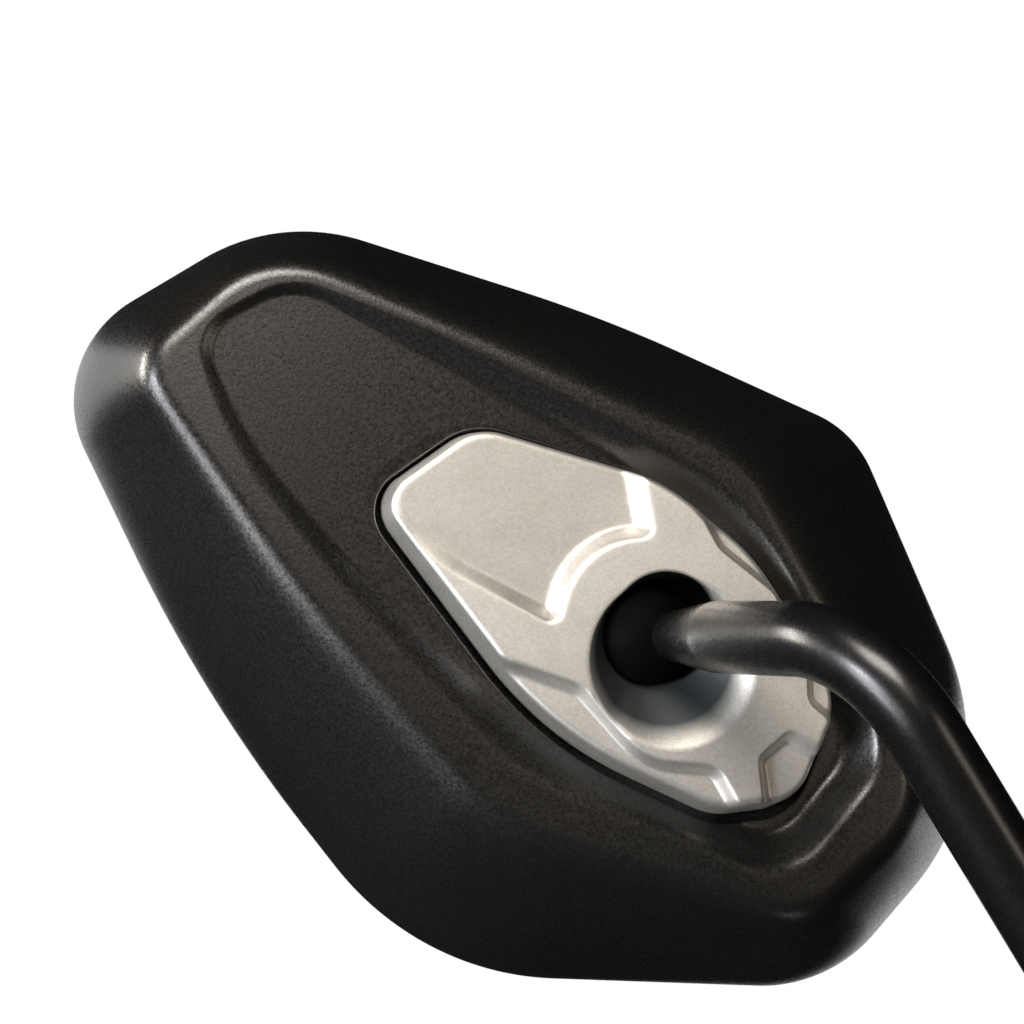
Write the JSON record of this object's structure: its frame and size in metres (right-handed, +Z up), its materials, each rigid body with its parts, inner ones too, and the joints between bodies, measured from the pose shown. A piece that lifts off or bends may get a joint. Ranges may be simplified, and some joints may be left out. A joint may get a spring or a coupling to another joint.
{
  "type": "motorcycle mirror",
  "caption": "Right-hand motorcycle mirror: angular black back shell with a silver plate round a ball socket, convex glass, bent black stem, rubber boot and threaded stud with lock nut.",
  "frame": {"origin": "on the stud's axis, at the lower face of the lock nut", "axes": "+Z up along the stud, +X outwards from the motorcycle, +Y forwards; the glass faces -Y"},
  "size_m": [0.2363, 0.0895, 0.242],
  "materials": {
    "stem_paint": "satin-gloss black paint on a steel rod",
    "boot_rubber": "matt moulded black rubber",
    "nut_steel": "black oxide on steel",
    "seat_nylon": "natural moulded nylon",
    "plated_steel": "zinc plate on steel",
    "spring_steel": "oiled spring steel",
    "shell_plastic": "black plastic with a fine moulded grain",
    "plate_paint": "silver metallic paint on moulded plastic",
    "mirror_glass": "silvered convex glass",
    "foam": "closed-cell adhesive foam",
    "carrier_plastic": "plain black moulded plastic",
    "bezel_plastic": "plain black moulded plastic"
  },
  "bodies": {
    "stem": {"stem": "stem_paint"},
    "boot": {"boot": "boot_rubber"},
    "lock_nut": {"lock_nut": "nut_steel"},
    "seat_cup": {"seat_cup": "seat_nylon"},
    "pressure_cup": {"pressure_cup": "plated_steel"},
    "head": {"back_shell": "shell_plastic", "cover_plate": "plate_paint", "cover_screws": "plated_steel", "clamp_plate": "plated_steel", "clamp_screws": "plated_steel", "clamp_washers": "plated_steel", "clamp_springs": "spring_steel", "mirror_glass": "mirror_glass", "foam_pad": "foam", "backing_plate": "carrier_plastic", "backing_screws": "plated_steel", "glass_bezel": "bezel_plastic"}
  },
  "joints": [
    {"name": "boot_slide", "type": "slide", "parent": "stem", "child": "boot", "axis": [0, 0, 1], "range_m": [-0.018, 0]},
    {"name": "locknut_turn", "type": "hinge", "parent": "stem", "child": "lock_nut", "pos_m": [0, 0, 0], "axis": [0, 0, 1], "continuous": true},
    {"name": "head_twist", "type": "hinge", "parent": "stem", "child": "seat_cup", "pos_m": [0.12672, -0.04772, 0.17207], "axis": [-0.3971, 0.9178, 0], "range_deg": [-20, 20]},
    {"name": "head_swing", "type": "hinge", "parent": "seat_cup", "child": "pressure_cup", "pos_m": [0.12672, -0.04772, 0.17207], "axis": [0, 0, 1], "range_deg": [-15, 15]},
    {"name": "head_tilt", "type": "hinge", "parent": "pressure_cup", "child": "head", "pos_m": [0.12672, -0.04772, 0.17207], "axis": [1, 0, 0], "range_deg": [-15, 15]}
  ]
}
